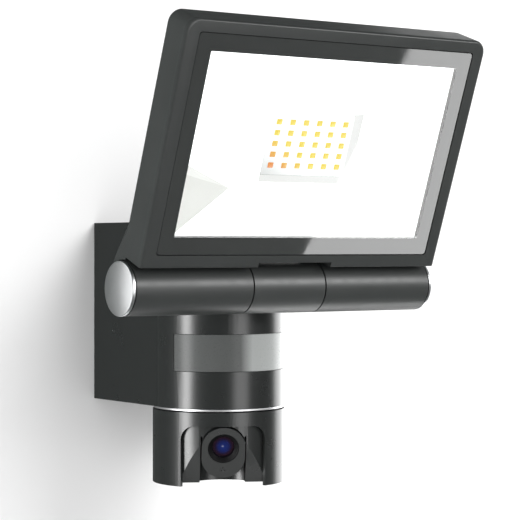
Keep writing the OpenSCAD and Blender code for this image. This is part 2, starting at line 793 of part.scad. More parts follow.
// The slot that the eye sits in, grown by grow: a round-topped opening square to the fascia, room
// for the eye's drum, and a slot that is open below
module eye_pocket(grow) {
    half = pocket_half + grow;
    back = pocket_back_s - grow;
    at_pivot() rotate([eye_down, 0, 0]) rod_y([0, -30, pill_mid], 28 + grow, half, 64);
    at_pivot() rod_x(-half, 2 * half, drum_r + 0.4 + grow, 64);
    intersection() {
        box_at([-half, -60, -60], [half, -back, fascia_z]);
        union() {
            box_at([-half - 1, -60, -61], [half + 1, -back - 7, 0]);
            rod_z([0, -back - pocket_back_r, -61], 61, pocket_back_r, $fn);
        }
    }
}

module camera_core() {
    color(anthracite) at_cup() difference() {
        intersection() {
            rod_z([0, 0, -core_h], core_h - cup_skin - 0.2, core_r, $fn);
            behind_fascia(0);
        }
        difference() {
            intersection() {
                rod_z([0, 0, -core_h - 1], core_h - cup_skin - core_skin - 0.2 + 1, core_r - core_skin, $fn);
                behind_fascia(core_skin);
            }
            eye_pocket(core_skin);
            for (place = post_places) rod_z([place[0], place[1], -core_h + core_skin], core_h, 3.6);
            for (side = [-1, 1])
                at_pivot() rod_x(side * (pocket_half + 3.5) - 3.5, 7, 4, 32);
        }
        eye_pocket(0);
        rod_z([0, 0, -10], 10, spindle_in_r, 64);
        for (place = post_places) rod_z([place[0], place[1], -core_h - 1], core_h - 5, 1.4);
        at_pivot() rod_x(-pocket_half - 5, 2 * pocket_half + 10, pin_r, 48);
    }
}

module cup_floor() {
    color(black) at_cup() difference() {
        intersection() {
            rod_z([0, 0, -core_h], 2, core_r - core_skin - 0.1, $fn);
            behind_fascia(core_skin + 0.1);
        }
        eye_pocket(core_skin + 0.1);
        for (place = post_places) rod_z([place[0], place[1], -core_h - 1], 4, 1.6);
    }
}

module cup_screws() {
    color(steel) at_cup() for (place = post_places)
        screw_z([place[0], place[1], -core_h], 14, 1.35, 3, 1.6);
}

module pan_retainer() {
    color(steel) at_cup() tube(15.5, spindle_r - 1.5, retainer_z, retainer_z + 1.4);
}

module tilt_pins() {
    color(steel) at_cup() at_pivot() for (side = [-1, 1])
        rod_x(side > 0 ? drum_half - 2 : -pin_end, pin_end - drum_half + 2, pin_r, 48);
}

// The pill outline of the eye's face, as a plate from y to y + t
module pill(y, t, r) {
    rod_y([0, y, pill_mid], t, r, 64);
    rod_y([0, y, pill_mid - pill_straight], t, r, 64);
    box_at([-r, y, pill_mid - pill_straight], [r, y + t, pill_mid]);
}

module eye_shell() {
    color(anthracite) at_eye() difference() {
        union() {
            pill(-eye_depth, 4.5, pill_r);
            rod_x(-drum_half, 2 * drum_half, drum_r, 64);
        }
        box_at([-20, -eye_depth - 5, -20], [20, -eye_depth, 20]);
        rod_y([0, -eye_depth - 1, 0], 7, lens_open_r, 64);
        intersection() {
            rod_x(-drum_half + 2.5, 2 * drum_half - 5, drum_r - drum_skin, 64);
            box_at([-20, -5.2, -20], [20, 20, 20]);
        }
        rod_x(-20, 40, pin_r + run_gap, 48);
        for (p = [[0, 1.2], [-1.05, -0.4], [1.05, -0.4]])
            rod_y([p[0], -eye_depth - 1, mic_z + p[1]], 3, 0.35, 16);
        rod_y([0, -eye_depth + 1.2, mic_z], 4, 2.4, 32);
    }
}

module lens_hood() {
    color(black) at_eye() difference() {
        rod_y([0, hood_y, 0], 5, lens_open_r - 0.05, 64);
        translate([0, hood_y - eps, 0]) rotate([-90, 0, 0])
            cylinder(h = 2.2, r1 = lens_open_r - 0.5, r2 = lens_r + 0.2, $fn = 64);
        rod_y([0, -eye_depth, 0], 10, lens_r + 0.1, 64);
    }
}

module lens_glass() {
    color([0.1, 0.1, 0.45, 0.6]) at_eye() intersection() {
        rod_y([0, -eye_depth + 0.9, 0], 4.1, lens_r, 64);
        translate([0, -eye_depth + 1 + lens_curve_r, 0]) sphere(r = lens_curve_r, $fn = 96);
    }
}

module lens_barrel() {
    color(black) at_eye() difference() {
        rod_y([0, -eye_depth + 5.2, 0], 7.2, 6.4, 64);
        rod_y([0, -eye_depth + 4, 0], 6, 4.5, 64);
    }
}

module image_board() {
    color(board_green) at_eye() union() {
        box_at([-10.7, 2.4, -7.5], [10.7, 3.6, 7.5]);
        box_at([-3, 3.6 - eps, -6], [3, 5.4, -3]);
    }
}

module microphone() {
    color([0.6, 0.6, 0.62]) at_eye() rod_y([0, -eye_depth + 1.3, mic_z], 2.6, 2.3, 32);
}

wall_plate();
wall_seal();
base_housing();
housing_screws();
cable_grommet();
terminal_block();
terminal_screws();
driver_board();
driver_transformer();
driver_capacitors();
tower_shell();
tower_cap();
tower_screws();
tower_floor();
floor_screws();
control_board();
board_spacers();
wifi_antenna();
speaker();
pir_window();
pir_board();
pir_sensors();
accent_ring();
pan_washer();
hinge_neck();
neck_screws();
hinge_shaft();
hinge_seals();
spring_washers();
shaft_nuts();
head_housing();
left_barrel();
right_barrel();
barrel_screws();
left_end_cap();
right_end_cap();
glass_pane();
glass_gasket();
mask_frame();
reflector();
led_board();
led_chips();
thermal_pad();
vent_plug();
camera_cup();
camera_core();
cup_floor();
cup_screws();
pan_retainer();
tilt_pins();
eye_shell();
lens_hood();
lens_glass();
lens_barrel();
image_board();
microphone();
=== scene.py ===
"""The looks of a floodlight security camera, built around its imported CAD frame.

Metres, +Z up. The wall is the plane Y = 0 and the lamp looks towards -Y.
"""

import json
import math

import bmesh
import bpy
from mathutils import Matrix, Vector


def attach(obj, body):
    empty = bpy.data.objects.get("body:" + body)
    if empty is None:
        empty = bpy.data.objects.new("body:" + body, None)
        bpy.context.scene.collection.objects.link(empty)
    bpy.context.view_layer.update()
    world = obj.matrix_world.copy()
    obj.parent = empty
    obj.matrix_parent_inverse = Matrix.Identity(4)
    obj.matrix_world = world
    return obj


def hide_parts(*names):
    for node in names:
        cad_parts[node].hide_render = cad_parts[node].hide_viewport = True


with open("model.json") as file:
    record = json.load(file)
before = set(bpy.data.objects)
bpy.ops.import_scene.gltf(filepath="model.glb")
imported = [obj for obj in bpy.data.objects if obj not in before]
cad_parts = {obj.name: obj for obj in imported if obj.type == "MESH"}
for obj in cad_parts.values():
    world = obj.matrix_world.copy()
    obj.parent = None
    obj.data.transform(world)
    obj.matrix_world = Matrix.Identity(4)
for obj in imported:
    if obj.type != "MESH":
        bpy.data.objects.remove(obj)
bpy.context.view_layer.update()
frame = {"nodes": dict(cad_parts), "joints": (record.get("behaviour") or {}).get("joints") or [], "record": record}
nodes = frame["nodes"]
body_of_node = {n: b for b, members in frame["record"]["behaviour"]["bodies"].items() for n in members}
slot_of_node = {row["node"]: row["material_slot"] for row in frame["record"]["subparts"]}
joints = {joint["name"]: joint for joint in frame["joints"]}

MM = 0.001
HINGE = Vector(joints["head_tilt"]["pos_m"])
PAN = Vector(joints["camera_pan"]["pos_m"])
EYE = Vector(joints["camera_tilt"]["pos_m"])
EYE_AXIS = Vector(joints["camera_tilt"]["axis"])
# At rest the head leans forward, and the eye looks down, by these angles
HEAD_LEAN = math.radians(20.4)
EYE_DOWN = math.radians(18.5)
HEAD_SPACE = Matrix.Translation(HINGE) @ Matrix.Rotation(HEAD_LEAN, 4, "X")
CUP_TURN = math.atan2(EYE_AXIS.y, EYE_AXIS.x)
EYE_SPACE = (Matrix.Translation(EYE) @ Matrix.Rotation(CUP_TURN, 4, "Z")
             @ Matrix.Rotation(EYE_DOWN, 4, "X"))


# ---------- materials ----------

# The two colour sockets of a Mix node
MIX_FIRST = 6
MIX_SECOND = 7


def blank_material(name):
    """A material with a Principled shader; returns its node tree and shader."""
    material = bpy.data.materials.new(name)
    material.use_nodes = True
    tree = material.node_tree
    return material, tree, tree.nodes["Principled BSDF"]


def noise(tree, scale, detail=4.0, roughness=0.55, stretch=(1, 1, 1)):
    """The value of a noise in object space, so that it stays with the piece."""
    coords = tree.nodes.new("ShaderNodeTexCoord")
    mapping = tree.nodes.new("ShaderNodeMapping")
    mapping.inputs["Scale"].default_value = stretch
    texture = tree.nodes.new("ShaderNodeTexNoise")
    texture.inputs["Scale"].default_value = scale
    texture.inputs["Detail"].default_value = detail
    texture.inputs["Roughness"].default_value = roughness
    tree.links.new(coords.outputs["Object"], mapping.inputs["Vector"])
    tree.links.new(mapping.outputs["Vector"], texture.inputs["Vector"])
    return texture.outputs["Fac"]


def spread(tree, value, low, high, from_low=0.3, from_high=0.7):
    """value mapped from its usual range to low..high."""
    node = tree.nodes.new("ShaderNodeMapRange")
    node.inputs["From Min"].default_value = from_low
    node.inputs["From Max"].default_value = from_high
    node.inputs["To Min"].default_value = low
    node.inputs["To Max"].default_value = high
    tree.links.new(value, node.inputs["Value"])
    return node.outputs["Result"]


def blend_colours(tree, factor, first, second):
    """A colour between first and second."""
    node = tree.nodes.new("ShaderNodeMix")
    node.data_type = "RGBA"
    node.inputs[MIX_FIRST].default_value = (*first, 1)
    node.inputs[MIX_SECOND].default_value = (*second, 1)
    tree.links.new(factor, node.inputs[0])
    return node.outputs[2]


def add_bump(tree, shader, height, strength, distance):
    """Bump on the shader from a height; distance is the bump's depth in metres."""
    node = tree.nodes.new("ShaderNodeBump")
    node.inputs["Strength"].default_value = strength
    node.inputs["Distance"].default_value = distance
    tree.links.new(height, node.inputs["Height"])
    tree.links.new(node.outputs["Normal"], shader.inputs["Normal"])


def grained(name, colour, roughness, grain=1500, depth=0.00006, strength=0.35, variation=0.08,
            rough_variation=0.05, **sockets):
    """A moulded or coated surface: fine grain, a slight cloudiness in colour and in gloss."""
    material, tree, shader = blank_material(name)
    cloud = noise(tree, 35, 5)
    darker = [c * (1 - variation) for c in colour]
    lighter = [c * (1 + variation) for c in colour]
    tint = blend_colours(tree, spread(tree, cloud, 0, 1), darker, lighter)
    tree.links.new(tint, shader.inputs["Base Color"])
    gloss = spread(tree, noise(tree, 90, 6), roughness - rough_variation, roughness + rough_variation)
    tree.links.new(gloss, shader.inputs["Roughness"])
    add_bump(tree, shader, noise(tree, grain, 3, 0.6), strength, depth)
    for socket, value in sockets.items():
        shader.inputs[socket.replace("_", " ")].default_value = value
    return material


def turned_metal(name, colour, roughness, centre, along, pitch=0.00022):
    """Metal faced on a lathe: fine rings round the axis through centre that runs along x or z."""
    material, tree, shader = blank_material(name)
    coords = tree.nodes.new("ShaderNodeTexCoord")
    shift = tree.nodes.new("ShaderNodeVectorMath")
    shift.operation = "SUBTRACT"
    shift.inputs[1].default_value = centre
    flatten = tree.nodes.new("ShaderNodeVectorMath")
    flatten.operation = "MULTIPLY"
    flatten.inputs[1].default_value = (0, 1, 1) if along == "x" else (1, 1, 0)
    length = tree.nodes.new("ShaderNodeVectorMath")
    length.operation = "LENGTH"
    rings = tree.nodes.new("ShaderNodeMath")
    rings.operation = "SINE"
    scaled = tree.nodes.new("ShaderNodeMath")
    scaled.operation = "MULTIPLY"
    scaled.inputs[1].default_value = 2 * math.pi / pitch
    tree.links.new(coords.outputs["Object"], shift.inputs[0])
    tree.links.new(shift.outputs[0], flatten.inputs[0])
    tree.links.new(flatten.outputs[0], length.inputs[0])
    tree.links.new(length.outputs["Value"], scaled.inputs[0])
    tree.links.new(scaled.outputs[0], rings.inputs[0])
    add_bump(tree, shader, rings.outputs[0], 0.12, 0.00002)
    cloud = noise(tree, 120, 4)
    lighter = [min(1, c * 1.06) for c in colour]
    tint = blend_colours(tree, spread(tree, cloud, 0, 1), colour, lighter)
    tree.links.new(tint, shader.inputs["Base Color"])
    shader.inputs["Roughness"].default_value = roughness
    shader.inputs["Metallic"].default_value = 1.0
    return material


def clear_glass(name):
    """Clear glass, very slightly smeared."""
    material, tree, shader = blank_material(name)
    shader.inputs["Base Color"].default_value = (0.97, 0.985, 0.98, 1)
    shader.inputs["Transmission Weight"].default_value = 1.0
    shader.inputs["IOR"].default_value = 1.5
    smear = spread(tree, noise(tree, 14, 3), 0.0, 0.02)
    tree.links.new(smear, shader.inputs["Roughness"])
    return material


def along(tree, start, end):
    """0 at the place start and 1 at the place end, in object space, rising straight between them."""
    span = Vector(end) - Vector(start)
    coords = tree.nodes.new("ShaderNodeTexCoord")
    offset = tree.nodes.new("ShaderNodeVectorMath")
    offset.operation = "SUBTRACT"
    offset.inputs[1].default_value = start
    dot = tree.nodes.new("ShaderNodeVectorMath")
    dot.operation = "DOT_PRODUCT"
    dot.inputs[1].default_value = span / span.length_squared
    tree.links.new(coords.outputs["Object"], offset.inputs[0])
    tree.links.new(offset.outputs[0], dot.inputs[0])
    return dot.outputs["Value"]


def head_point(x, y, v):
    """A place in the head, in millimetres: x across, y back and v up from the hinge axis."""
    return HEAD_SPACE @ Vector((x * MM, y * MM, v * MM))


# Painted light and shade: the emission of the reflector, well, board and LEDs rises between these places
# in the head, below and on the LED board, so that a painted shade at their lower left fades out
PAINTED_LIGHT_START = (-34, 0, 70)
PAINTED_LIGHT_END = (-16, 0, 96)


def painted_light_emission(name, base, dim, bright, low=0.0, high=1.0):
    """Painted light: an emission that stands for studio light on the surface, going from the painted shade dim, at
    the part low of its rise, to bright at high.
    """
    material, tree, shader = blank_material(name)
    fine = noise(tree, 300, 3)
    tint = blend_colours(tree, spread(tree, fine, 0, 1), [c * 0.97 for c in base], base)
    tree.links.new(tint, shader.inputs["Base Color"])
    rise = along(tree, head_point(*PAINTED_LIGHT_START), head_point(*PAINTED_LIGHT_END))
    painted_glow = blend_colours(tree, spread(tree, rise, 0, 1, low, high), dim, bright)
    tree.links.new(painted_glow, shader.inputs["Emission Color"])
    shader.inputs["Emission Strength"].default_value = 1.0
    shader.inputs["Roughness"].default_value = 0.4
    return material


# The painted reflection in the lens: its rings' middle, a little above the lens's own, and how far they reach
PAINTED_REFLECTION_AT = EYE_SPACE @ Vector((0.0, -0.009, 0.0008))
PAINTED_REFLECTION_REACH = 0.0072


def lens_painted_reflection(name):
    """Dark lens glass with a painted reflection of its coating: an emission in deep blue over its middle and
    violet towards the rim.
    """
    material, tree, shader = blank_material(name)
    coords = tree.nodes.new("ShaderNodeTexCoord")
    place = tree.nodes.new("ShaderNodeVectorMath")
    place.operation = "SUBTRACT"
    place.inputs[1].default_value = PAINTED_REFLECTION_AT
    reach = tree.nodes.new("ShaderNodeVectorMath")
    reach.operation = "LENGTH"
    tree.links.new(coords.outputs["Object"], place.inputs[0])
    tree.links.new(place.outputs[0], reach.inputs[0])
    ramp = tree.nodes.new("ShaderNodeValToRGB")
    stops = ramp.color_ramp.elements
    stops[0].position = 0.0
    stops[0].color = (0.004, 0.012, 0.085, 1)
    stops[1].position = 1.0
    stops[1].color = (0.004, 0.003, 0.005, 1)
    for position, colour in ((0.45, (0.004, 0.007, 0.050, 1)), (0.66, (0.006, 0.003, 0.018, 1)),
                             (0.80, (0.009, 0.002, 0.006, 1))):
        stops.new(position).color = colour
    tree.links.new(spread(tree, reach.outputs["Value"], 0, 1, 0.0, PAINTED_REFLECTION_REACH), ramp.inputs["Fac"])
    tree.links.new(ramp.outputs["Color"], shader.inputs["Base Color"])
    tree.links.new(ramp.outputs["Color"], shader.inputs["Emission Color"])
    shader.inputs["Emission Strength"].default_value = 0.8
    shader.inputs["Roughness"].default_value = 0.12
    return material


# Where along X the painted light on the sensor window takes it from dark to light grey
PAINTED_LIGHT_FROM = -0.010
PAINTED_LIGHT_TO = -0.002


def sensor_window(name):
    """Grey translucent plastic with painted light that makes its right part paler, as if lit through from the
    right.
    """
    material, tree, shader = blank_material(name)
    painted_light = spread(tree, along(tree, (PAINTED_LIGHT_FROM, PAN.y, 0), (PAINTED_LIGHT_TO, PAN.y, 0)), 0, 1, 0, 1)
    colour = blend_colours(tree, painted_light, (0.048, 0.0505, 0.0495), (0.235, 0.244, 0.24))
    tree.links.new(colour, shader.inputs["Base Color"])
    rough = spread(tree, noise(tree, 900, 3), 0.26, 0.32)
    tree.links.new(rough, shader.inputs["Roughness"])
    shader.inputs["Specular IOR Level"].default_value = 0.16
    return material


MATERIALS = {
    "anthracite_metal": grained("anthracite_metal", (0.026, 0.0283, 0.0276), 0.38, grain=1700, depth=0.00005,
                                strength=0.25, variation=0.05, rough_variation=0.03),
    "anthracite_plastic": grained("anthracite_plastic", (0.0095, 0.0105, 0.0102), 0.28, grain=2400,
                                  depth=0.00001, strength=0.06, variation=0.02, rough_variation=0.008),
    "black_plastic": grained("black_plastic", (0.003, 0.003, 0.0033), 0.6, grain=2600, strength=0.1,
                             Specular_IOR_Level=0.12),
    "antenna_film": grained("antenna_film", (0.03, 0.03, 0.035), 0.6),
    "black_rubber": grained("black_rubber", (0.008, 0.008, 0.008), 0.75, grain=900, depth=0.0001),
    "end_cap_metal": turned_metal("end_cap_metal", (0.74, 0.75, 0.755), 0.32, tuple(HINGE), "x"),
    "ring_chrome": turned_metal("ring_chrome", (0.66, 0.66, 0.67), 0.4, tuple(PAN), "z"),
    "screw_steel": grained("screw_steel", (0.6, 0.61, 0.62), 0.32, grain=600, Metallic=1.0),
    "brass_contacts": grained("brass_contacts", (0.78, 0.58, 0.25), 0.3, Metallic=1.0),
    "terminal_grey": grained("terminal_grey", (0.6, 0.6, 0.57), 0.5),
    "circuit_board": grained("circuit_board", (0.02, 0.13, 0.06), 0.35, grain=300, variation=0.25),
    "transformer_tape": grained("transformer_tape", (0.72, 0.52, 0.08), 0.3),
    "capacitor_sleeve": grained("capacitor_sleeve", (0.02, 0.03, 0.11), 0.28),
    "sensor_window": sensor_window("sensor_window"),
    "white_slider": grained("white_slider", (0.8, 0.8, 0.78), 0.5),
    "front_glass": clear_glass("front_glass"),
    "mask_black": grained("mask_black", (0.036, 0.038, 0.0372), 0.03, grain=400, depth=0.000002,
                          strength=0.02, variation=0.04, rough_variation=0.02),
    # Painted light: these emit in place of studio light on the reflector, well, board and LEDs, which are not lit;
    # painted shade darkens the corner, crease and well and the board's lower left, and turns the LEDs orange there
    "reflector_white": painted_light_emission("reflector_white", (0.9, 0.9, 0.9), (1.25, 1.25, 1.25), (1.3, 1.3, 1.3)),
    "reflector_corner": painted_light_emission("reflector_corner", (0.1, 0.1, 0.1), (0.665, 0.665, 0.63),
                                (0.70, 0.70, 0.665)),
    "reflector_crease": painted_light_emission("reflector_crease", (0.1, 0.1, 0.1), (0.77, 0.77, 0.74),
                                (0.90, 0.90, 0.87)),
    "well_shade": painted_light_emission("well_shade", (0.1, 0.1, 0.1), (0.80, 0.80, 0.785), (0.85, 0.85, 0.84)),
    "led_board_white": painted_light_emission("led_board_white", (0.1, 0.1, 0.1), (0.60, 0.61, 0.60),
                               (1.15, 1.15, 1.15), 0.1, 0.8),
    "led_phosphor": painted_light_emission("led_phosphor", (0.02, 0.012, 0.002), (0.80, 0.24, 0.003),
                            (0.90, 0.70, 0.05), 0.4, 0.85),
    "thermal_grey": grained("thermal_grey", (0.35, 0.4, 0.5), 0.7),
    "lens_coating": lens_painted_reflection("lens_coating"),
}


# ---------- mesh helpers ----------

# Angles in degrees: edges sharper than the first stay sharp in shading, and flatter than the second go
SHARP_ANGLE = 30
FLAT_ANGLE = 0.6
WELD = 2e-6


def finish_mesh(name, bm, material, body, smooth_angle=SHARP_ANGLE):
    """A new piece from bm, with its material, riding on body."""
    mesh = bpy.data.meshes.new(name)
    bm.to_mesh(mesh)
    bm.free()
    piece = bpy.data.objects.new(name, mesh)
    bpy.context.scene.collection.objects.link(piece)
    mesh.materials.append(MATERIALS[material])
    smooth(piece, smooth_angle)
    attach(piece, body)
    return piece


def smooth(piece, angle):
    """Smooth shading that keeps edges sharper than angle, in degrees."""
    mesh = piece.data
    mesh.shade_smooth()
    mesh.set_sharp_from_angle(angle=math.radians(angle))


def bake_modifiers(piece):
    """The piece's mesh as its modifiers make it, with none left on it."""
    bpy.context.view_layer.update()
    graph = bpy.context.evaluated_depsgraph_get()
    mesh = bpy.data.meshes.new_from_object(piece.evaluated_get(graph))
    piece.modifiers.clear()
    piece.data = mesh


def rounded(node, width):
    """A copy of a CAD node with its sharp edges rounded, which stands for the node."""
    bm = bmesh.new()
    bm.from_mesh(nodes[node].data)
    bmesh.ops.remove_doubles(bm, verts=bm.verts, dist=WELD)
    bmesh.ops.dissolve_limit(bm, angle_limit=math.radians(FLAT_ANGLE), verts=bm.verts, edges=bm.edges)
    piece = finish_mesh("fine_" + node, bm, slot_of_node[node], body_of_node[node])
    bevel = piece.modifiers.new("round", "BEVEL")
    bevel.width = width
    bevel.segments = 3
    bevel.limit_method = "ANGLE"
    bevel.angle_limit = math.radians(SHARP_ANGLE)
    bevel.use_clamp_overlap = True
    bevel.harden_normals = True
    bake_modifiers(piece)
    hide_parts(node)
    return piece


def lathe(name, space, profile, segments, material, body, smooth_angle):
    """A turned piece: profile is (radius, height) in millimetres along the +Z axis of space."""
    bm = bmesh.new()
    rings = []
    for radius, height in profile:
        if radius == 0:
            rings.append([bm.verts.new(space @ Vector((0, 0, height * MM)))])
            continue
        turns = [2 * math.pi * k / segments for k in range(segments)]
        places = [(radius * MM * math.cos(turn), radius * MM * math.sin(turn), height * MM) for turn in turns]
        rings.append([bm.verts.new(space @ Vector(place)) for place in places])
    for low, high in zip(rings, rings[1:]):
        for k in range(segments):
            after = (k + 1) % segments
            corners = [low[k % len(low)], low[after % len(low)], high[after % len(high)], high[k % len(high)]]
            bm.faces.new(list(dict.fromkeys(corners)))
    bmesh.ops.recalc_face_normals(bm, faces=bm.faces)
    return finish_mesh(name, bm, material, body, smooth_angle)


def arc(centre, radius, start, end, steps):
    """Points on an arc, as (radius, height) pairs; the angles are in degrees."""
    turns = (math.radians(start + (end - start) * k / steps) for k in range(steps + 1))
    return [(centre[0] + radius * math.cos(t), centre[1] + radius * math.sin(t)) for t in turns]


# ---------- pieces ----------

# How wide, in millimetres, the edges of these nodes are rounded
ROUNDED = {
    "head_housing": 0.4, "base_housing": 0.6, "tower_shell": 0.2, "tower_cap": 0.5, "hinge_neck": 0.3,
    "left_barrel": 0.3, "right_barrel": 0.3, "camera_cup": 0.4, "camera_core": 0.25,
    "accent_ring": 0.25, "pir_window": 0.15, "wall_plate": 0.3, "cup_floor": 0.25,
}
for name, object_ in nodes.items():
    for slot in object_.material_slots:
        slot.material = MATERIALS[slot_of_node[name]]
    smooth(object_, SHARP_ANGLE)
for name, width in ROUNDED.items():
    rounded(name, width * MM)


# A cap's sizes in millimetres; the places are along the hinge axis, from the middle of the barrel
CAP_TOP = 111.95
CAP_CROWN = 1.05
CAP_FACE_RADIUS = 15.6
CAP_ROUND = 0.5
CAP_SHOULDER = 110.4
CAP_BACK = 109.1
PLUG_END = 103.1
PLUG_RADIUS = 13.15


def end_cap(node, side):
    """A turned cap on the barrel's end at side: domed face, rounded edge, and the plug behind it."""
    space = Matrix.Translation(HINGE) @ Matrix.Rotation(math.radians(90 * side), 4, "Y")
    profile = [(0, PLUG_END), (PLUG_RADIUS, PLUG_END), (PLUG_RADIUS, CAP_BACK),
               (CAP_FACE_RADIUS + CAP_ROUND, CAP_BACK)]
    profile += arc((CAP_FACE_RADIUS, CAP_SHOULDER), CAP_ROUND, 0, 70, 5)
    profile += [(radius, CAP_TOP - CAP_CROWN * (radius / CAP_FACE_RADIUS) ** 2)
                for radius in (15.4, 14, 12, 9.5, 7, 4.5, 2, 0)]
    piece = lathe("fine_" + node, space, profile, 128, "end_cap_metal", "head", 25)
    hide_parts(node)


end_cap("left_end_cap", -1)
end_cap("right_end_cap", 1)


# ---------- glass, reflector and LEDs ----------

def head_mesh(name, points, faces, material, smooth_angle, materials=()):
    """A piece on the head, from points in its millimetres; a face is (point numbers, material index)."""
    bm = bmesh.new()
    verts = [bm.verts.new(head_point(*point)) for point in points]
    for face, index in faces:
        bm.faces.new([verts[k] for k in face]).material_index = index
    bmesh.ops.recalc_face_normals(bm, faces=bm.faces)
    piece = finish_mesh(name, bm, material, "head", smooth_angle)
    for extra in materials:
        piece.data.materials.append(MATERIALS[extra])
    return piece


# The pane and its clear window, in the head's millimetres: half width, lower and upper edge, front and back
GLASS_HALF = 99.5
GLASS_V = (26.0, 157.1)
GLASS_Y = (-14.4, -10.4)
GLASS_CORNER = 2.2
CLEAR_HALF = 89.8
CLEAR_V = (36.9, 146.8)


def plate_ring(half, v_low, v_top, radius, steps=6):
    """The outline of a rounded plate, anticlockwise, as (x, v) pairs."""
    ring = []
    for cx, cv, start in ((half - radius, v_low + radius, -90), (half - radius, v_top - radius, 0),
                          (radius - half, v_top - radius, 90), (radius - half, v_low + radius, 180)):
        ring += [(cx + radius * math.cos(math.radians(start + 90 * k / steps)),
                  cv + radius * math.sin(math.radians(start + 90 * k / steps))) for k in range(steps + 1)]
    return ring


def layered(name, rings, material, closed=False):
    """Walls between rings of equal length; each ring is ((x, v) pairs, y).

    Closed, the last ring joins the first; otherwise the two end rings are filled in.
    """
    count = len(rings[0][0])
    points = [(x, y, v) for ring, y in rings for x, v in ring]
    faces = []
    layers = len(rings)
    for layer in range(layers if closed else layers - 1):
        low, high = layer * count, ((layer + 1) % layers) * count
        for k in range(count):
            after = (k + 1) % count
            faces.append(((low + k, low + after, high + after, high + k), 0))
    if not closed:
        faces += [(tuple(range(count)), 0), (tuple(range((layers - 1) * count, layers * count)), 0)]
    return head_mesh(name, points, faces, material, 25)


def glass_outline(inset):
    """The pane's outer outline, drawn in by inset."""
    return plate_ring(GLASS_HALF - inset, GLASS_V[0] + inset, GLASS_V[1] - inset, GLASS_CORNER - inset)


front, back = GLASS_Y
inner = plate_ring(CLEAR_HALF, CLEAR_V[0], CLEAR_V[1], 0.6)
border = layered("glass_printed_border",
                 [(inner, front), (glass_outline(0.35), front), (glass_outline(0.1), front + 0.12),
                  (glass_outline(0), front + 0.35), (glass_outline(0), back), (inner, back)],
                 "mask_black", closed=True)
pane = layered("glass_clear_window", [(inner, front), (inner, back)], "front_glass")
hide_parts("glass_pane")
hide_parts("glass_pane")

# The reflector's flat floor, its rim, and the well round the LED board, in the same way
FLOOR_HALF = 52.8
FLOOR_V = (64.5, 119.0)
FLOOR_Y = -4.2
RIM_Y = -9.9
WELL = 3.2
WELL_END_Y = 0.3
BOARD_HALF = 30.5
BOARD_V = (71.9, 109.8)
BOARD_GAP = 0.2
# Where the folds of the lower and upper corners meet the rim's sides, and where their creases do
FOLD_V = (74, 110)
CREASE_V = (80, 104)
# The four corners, as the side of x and which of the two v values
CORNERS = ((-1, 0), (1, 0), (1, 1), (-1, 1))

# The LEDs: how many across and up, their spacing, and how far above the board's middle they are centred
LED_GRID = (6, 5)
LED_PITCH = (9.8, 6.67)
LED_RAISE = 0.5


def reflector():
    """The white reflector: sloping sides with folded corners, a flat floor and a well for the board."""
    points, faces = [], []

    def add(x, y, v):
        points.append((x, y, v))
        return len(points) - 1

    floor = [add(sx * FLOOR_HALF, FLOOR_Y, FLOOR_V[k]) for sx, k in CORNERS]
    rim = [add(sx * CLEAR_HALF, RIM_Y, CLEAR_V[k]) for sx, k in CORNERS]
    well_top = [add(sx * (BOARD_HALF + WELL), FLOOR_Y, BOARD_V[k] + (2 * k - 1) * WELL)
                for sx, k in CORNERS]
    well_low = [add(sx * (BOARD_HALF + BOARD_GAP), WELL_END_Y, BOARD_V[k] + (2 * k - 1) * BOARD_GAP)
                for sx, k in CORNERS]
    fold = [add(sx * CLEAR_HALF, RIM_Y, FOLD_V[k]) for sx, k in CORNERS]
    crease = [add(sx * CLEAR_HALF, RIM_Y, CREASE_V[k]) for sx, k in CORNERS]
    # Materials 1 and 2 paint shade on the lower-left corner's fold and crease, 3 paints shade on the well's walls
    for k in range(4):
        after = (k + 1) % 4
        faces.append(((floor[k], floor[after], well_top[after], well_top[k]), 0))
        faces.append(((well_top[k], well_top[after], well_low[after], well_low[k]), 3))
        faces.append(((floor[k], rim[k], fold[k]), 1 if k == 0 else 0))
        faces.append(((floor[k], fold[k], crease[k]), 2 if k == 0 else 0))
    faces.append(((floor[0], floor[1], rim[1], rim[0]), 0))
    faces.append(((floor[2], floor[3], rim[3], rim[2]), 0))
    faces.append(((floor[1], crease[1], crease[2], floor[2]), 0))
    faces.append(((floor[3], crease[3], crease[0], floor[0]), 0))
    piece = head_mesh("reflector_folded", points, faces, "reflector_white", 1,
                      ("reflector_corner", "reflector_crease", "well_shade"))
    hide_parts("reflector")


def led_layers(bm, x, v, layers):
    """Walls between rounded rectangles round (x, v); each layer is (half x, half v, y, corner radius)."""
    rings = []
    for half_x, half_v, y, radius in layers:
        outline = plate_ring(half_x, -half_v, half_v, radius, 4)
        rings.append([bm.verts.new(head_point(x + px, y, v + pv)) for px, pv in outline])
    for low, high in zip(rings, rings[1:]):
        for k in range(len(low)):
            after = (k + 1) % len(low)
            bm.faces.new((low[k], low[after], high[after], high[k]))
    return rings[-1]


